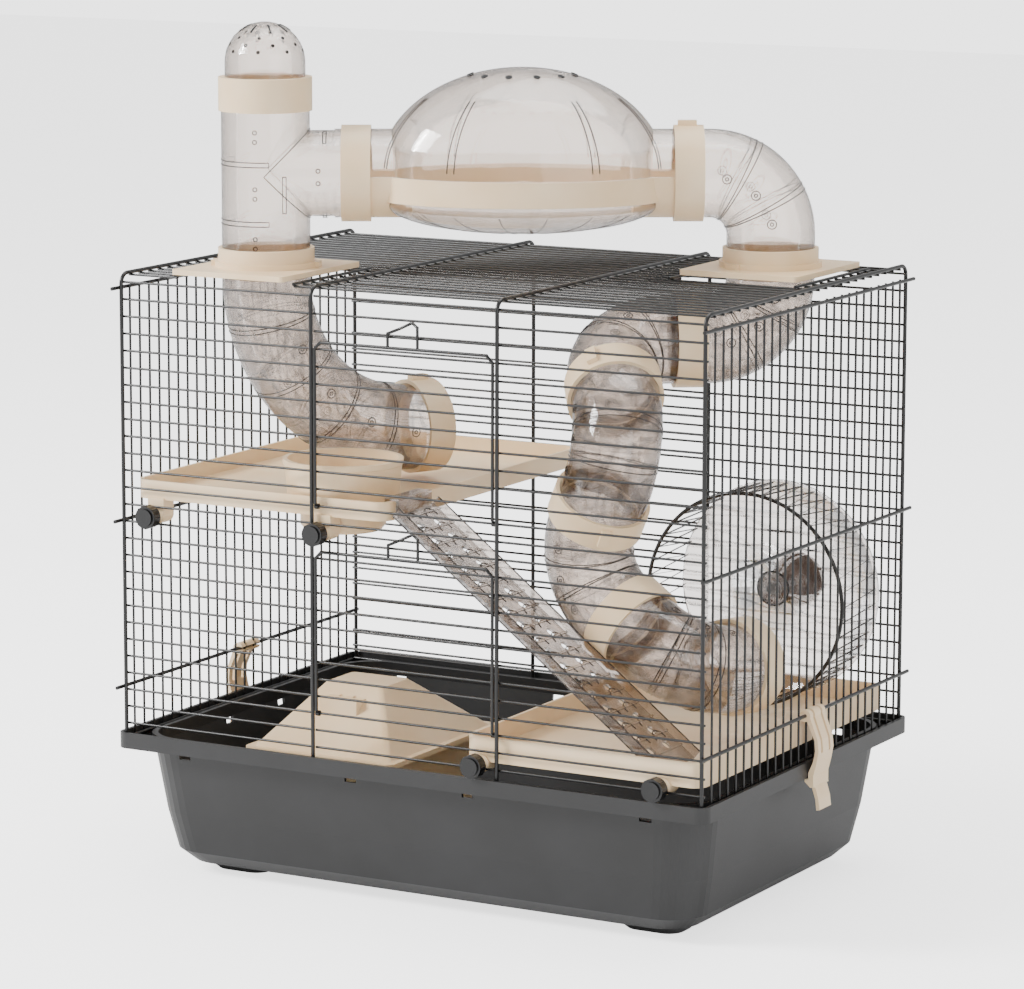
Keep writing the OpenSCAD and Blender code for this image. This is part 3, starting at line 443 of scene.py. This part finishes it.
cap_low, cap_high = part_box("vent_cap")
cap_r = (cap_high[0] - cap_low[0]) / 2
cap_place = shift(left_port[0], left_port[1], cap_high[2] - cap_r)
cap_slits, cap_holes = [], []
for azimuth in range(0, 360, 45):
    slit = [cap_place @ turn("Z", azimuth) @ turn("Y", tilt) @ Vector((0, 0, cap_r + 0.1 * MM))
            for tilt in range(22, 41, 3)]
    cap_slits.append((slit, False))
    for tilt, twist in ((50, 22), (62, 0), (72, 22)):
        facing = cap_place @ turn("Z", azimuth + twist) @ turn("Y", tilt) @ shift(0, 0, cap_r)
        cap_holes += [circle(facing, size * MM, 12) for size in (0.5, 1.1)]
swept("cap_slits", "vent_cap", cap_slits, 0.8 * MM, black_plastic, sides=6)
swept("cap_holes", "vent_cap", cap_holes, 0.4 * MM, rib_smoke, sides=6)

# ---- Playroom dome ----
# A clear oval dome stands on a cream band over a shallow clear dish. Pairs of ribs climb the
# dome, small air holes ring its crown, and a fan of ribs runs under the dish.
dome_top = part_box("dome_cover")[1][2]
dome_x, dome_y = middle("dome_band")[:2]
dome_height = dome_top - branch_z
DOME_A = 106.9 * MM
DOME_B = 73.5 * MM
dome_place = shift(dome_x, dome_y, branch_z) @ turn("Z", line_angle)


def on_dome(azimuth, climb, lift=0.2 * MM):
    """A point on the dome's outside; azimuth and climb are the ellipsoid's own angles."""
    a, c = math.radians(azimuth), math.radians(climb)
    return dome_place @ Vector(((DOME_A + lift) * math.cos(a) * math.cos(c),
                                (DOME_B + lift) * math.sin(a) * math.cos(c),
                                (dome_height + lift) * math.sin(c)))


dome_ribs = []
for azimuth in (-162, -120, -60, -18, 60, 120):
    for twin in (-1.6, 1.6):
        dome_ribs.append(([on_dome(azimuth + twin, climb) for climb in range(4, 49, 3)], False))
swept("dome_ribs", "cage", dome_ribs, 0.45 * MM, rib_smoke, sides=6)
air_holes = []
for azimuth in range(15, 360, 30):
    here = on_dome(azimuth, 68)
    away = (here - on_dome(azimuth, 68, -5 * MM)).normalized()
    facing = away.to_track_quat("Z", "Y").to_matrix().to_4x4()
    for size in (0.7, 1.6, 2.3):
        air_holes.append(circle(Matrix.Translation(here) @ facing, size * MM, 16))
swept("dome_air_holes", "cage", air_holes, 0.5 * MM, black_plastic, sides=6)
dish_ribs = []
dish_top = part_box("dome_dish")[1][2]
dish_depth = dish_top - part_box("dome_dish")[0][2]
for azimuth in range(0, 360, 20):
    a = math.radians(azimuth)
    rib = []
    for dip in range(18, 88, 8):
        d = math.radians(dip)
        rib.append(Vector(((DOME_A - MM) * math.cos(a) * math.cos(d),
                           (DOME_B - MM) * math.sin(a) * math.cos(d),
                           dish_top - branch_z - dish_depth * math.sin(d))))
    dish_ribs.append(([dome_place @ p for p in rib], False))
swept("dome_dish_ribs", "cage", dish_ribs, 0.35 * MM, rib_smoke, sides=6)

# ---- Ramp ----
# The ramp is a clear moulded channel with cross treads and a row of half-round toe holds, each
# a thin raised arch, so that small feet find a grip.
# Painted shade: the ramp stands inside the cage, so its smoke tint is darker than the tubes'
# outside it; its streaks are painted dark reflections.
ramp_plastic = clear_plastic("clear_smoke_ramp_in_shade", "#a4968c", "#2b211c", 0.72, streaks=0.25)
dress(["ramp"], ramp_plastic)
ramp_low, ramp_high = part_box("ramp")
RAMP_TOP = Vector((-0.015, 0, 0.2961))
RAMP_FOOT = Vector((0.203, 0, 0.128))
RAMP_FLOOR = 2.6 * MM
HOLD_PITCH = 15 * MM
ramp_y0, ramp_y1 = ramp_low[1], ramp_high[1]
along = (RAMP_FOOT - RAMP_TOP).normalized()
up = Vector((-along.z, 0, along.x))
if up.z < 0:
    up = -up
length = (RAMP_FOOT - RAMP_TOP).length
holds, edges = [], []
for i in range(int(length / HOLD_PITCH) - 1):
    for y in (0.3, 0.7):
        base = RAMP_TOP + along * (i + 0.75) * HOLD_PITCH + up * RAMP_FLOOR
        base.y = ramp_y0 + y * (ramp_y1 - ramp_y0)
        arch = []
        for a in range(0, 181, 15):
            arch.append(base + Vector((0, 1, 0)) * 7 * MM * math.cos(math.radians(a))
                        - along * 8 * MM * math.sin(math.radians(a)))
        holds.append((arch, False))
for y in (ramp_y0 + 1 * MM, ramp_y1 - 1 * MM):
    for lift in (0.2, 8.2):
        start = RAMP_TOP + up * lift * MM
        end = RAMP_FOOT + up * lift * MM
        edges.append(([Vector((p.x, y, p.z)) for p in (start, end)], False))
swept("ramp_toe_holds", "cage", holds, 0.5 * MM, rib_smoke)
swept("ramp_edges", "cage", edges, 0.5 * MM, rib_smoke)


# ---- Running wheel ----
# The wheel is moulded in clear smoke plastic: a back disc with a hub, a front ring, and a zigzag
# of thin rungs between them to run on.
def lathe(name, body, place, outline, material, count=96):
    """A closed solid of revolution about Z of place; outline is a closed (radius, height) loop."""
    verts, faces = [], []
    n = len(outline)
    for i in range(count):
        a = 2 * math.pi * i / count
        verts += [place @ Vector((r * math.cos(a), r * math.sin(a), z)) for r, z in outline]
    for i in range(count):
        here, there = i * n, (i + 1) % count * n
        faces += [(here + j, there + j, there + (j + 1) % n, here + (j + 1) % n) for j in range(n)]
    made = plain_mesh(name, verts, faces, material)
    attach(made, body)
    return made


wheel_low, wheel_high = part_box("wheel_drum")
wheel_x, _, wheel_z = middle("wheel_drum")
wheel_r = (wheel_high[0] - wheel_low[0]) / 2
wheel_w = wheel_high[1] - wheel_low[1]
wheel_place = shift(wheel_x, wheel_low[1], wheel_z) @ turn("X", -90)
# Painted shade: the wheel turns inside the cage, so its smoke tint is darker than that of the tubes
# outside it.
wheel_plastic = clear_plastic("clear_smoke_wheel_in_shade", "#b5aba5", "#211b18", 0.62)
dark_edge = moulded("dark_wheel_edge", "#0f0d0c", "#1a1715", 0.15, 2.0, 0.05)
AXLE_HOLE_R = 4.06 * MM
HUB_R = 13 * MM
HUB_LENGTH = 14 * MM
DISC_WALL = 2.4 * MM
drum = lathe("wheel_disc", "wheel", wheel_place,
             [(AXLE_HOLE_R, wheel_w - HUB_LENGTH), (AXLE_HOLE_R, wheel_w),
              (wheel_r - 1 * MM, wheel_w), (wheel_r, wheel_w - 1 * MM),
              (wheel_r, wheel_w - 4 * MM), (wheel_r - 2 * MM, wheel_w - 4 * MM),
              (wheel_r - 3 * MM, wheel_w - DISC_WALL), (HUB_R + 1 * MM, wheel_w - DISC_WALL),
              (HUB_R, wheel_w - HUB_LENGTH)], wheel_plastic)
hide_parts("wheel_drum")
RUNGS = 44
rung_r = wheel_r - 2 * MM
zigzag = []
for i in range(2 * RUNGS):
    a = math.pi * i / RUNGS
    z = 2 * MM if i % 2 == 0 else wheel_w - 3 * MM
    zigzag.append(wheel_place @ Vector((rung_r * math.cos(a), rung_r * math.sin(a), z)))
swept("wheel_rungs", "wheel", [(zigzag, True)], 0.75 * MM, rib_smoke, sides=6)
rims = [circle(wheel_place @ shift(0, 0, 1.6 * MM), wheel_r - 1.6 * MM, 96)]
swept("wheel_front_ring", "wheel", rims, 1.5 * MM, dark_edge, sides=10)
dress(["wheel_hub_cap"], wheel_plastic)
hub_lines = [circle(wheel_place @ shift(0, 0, wheel_w - 14.2 * MM), 13.2 * MM, 40)]
swept("wheel_hub_edge", "wheel", hub_lines, 0.7 * MM, dark_edge, sides=8)
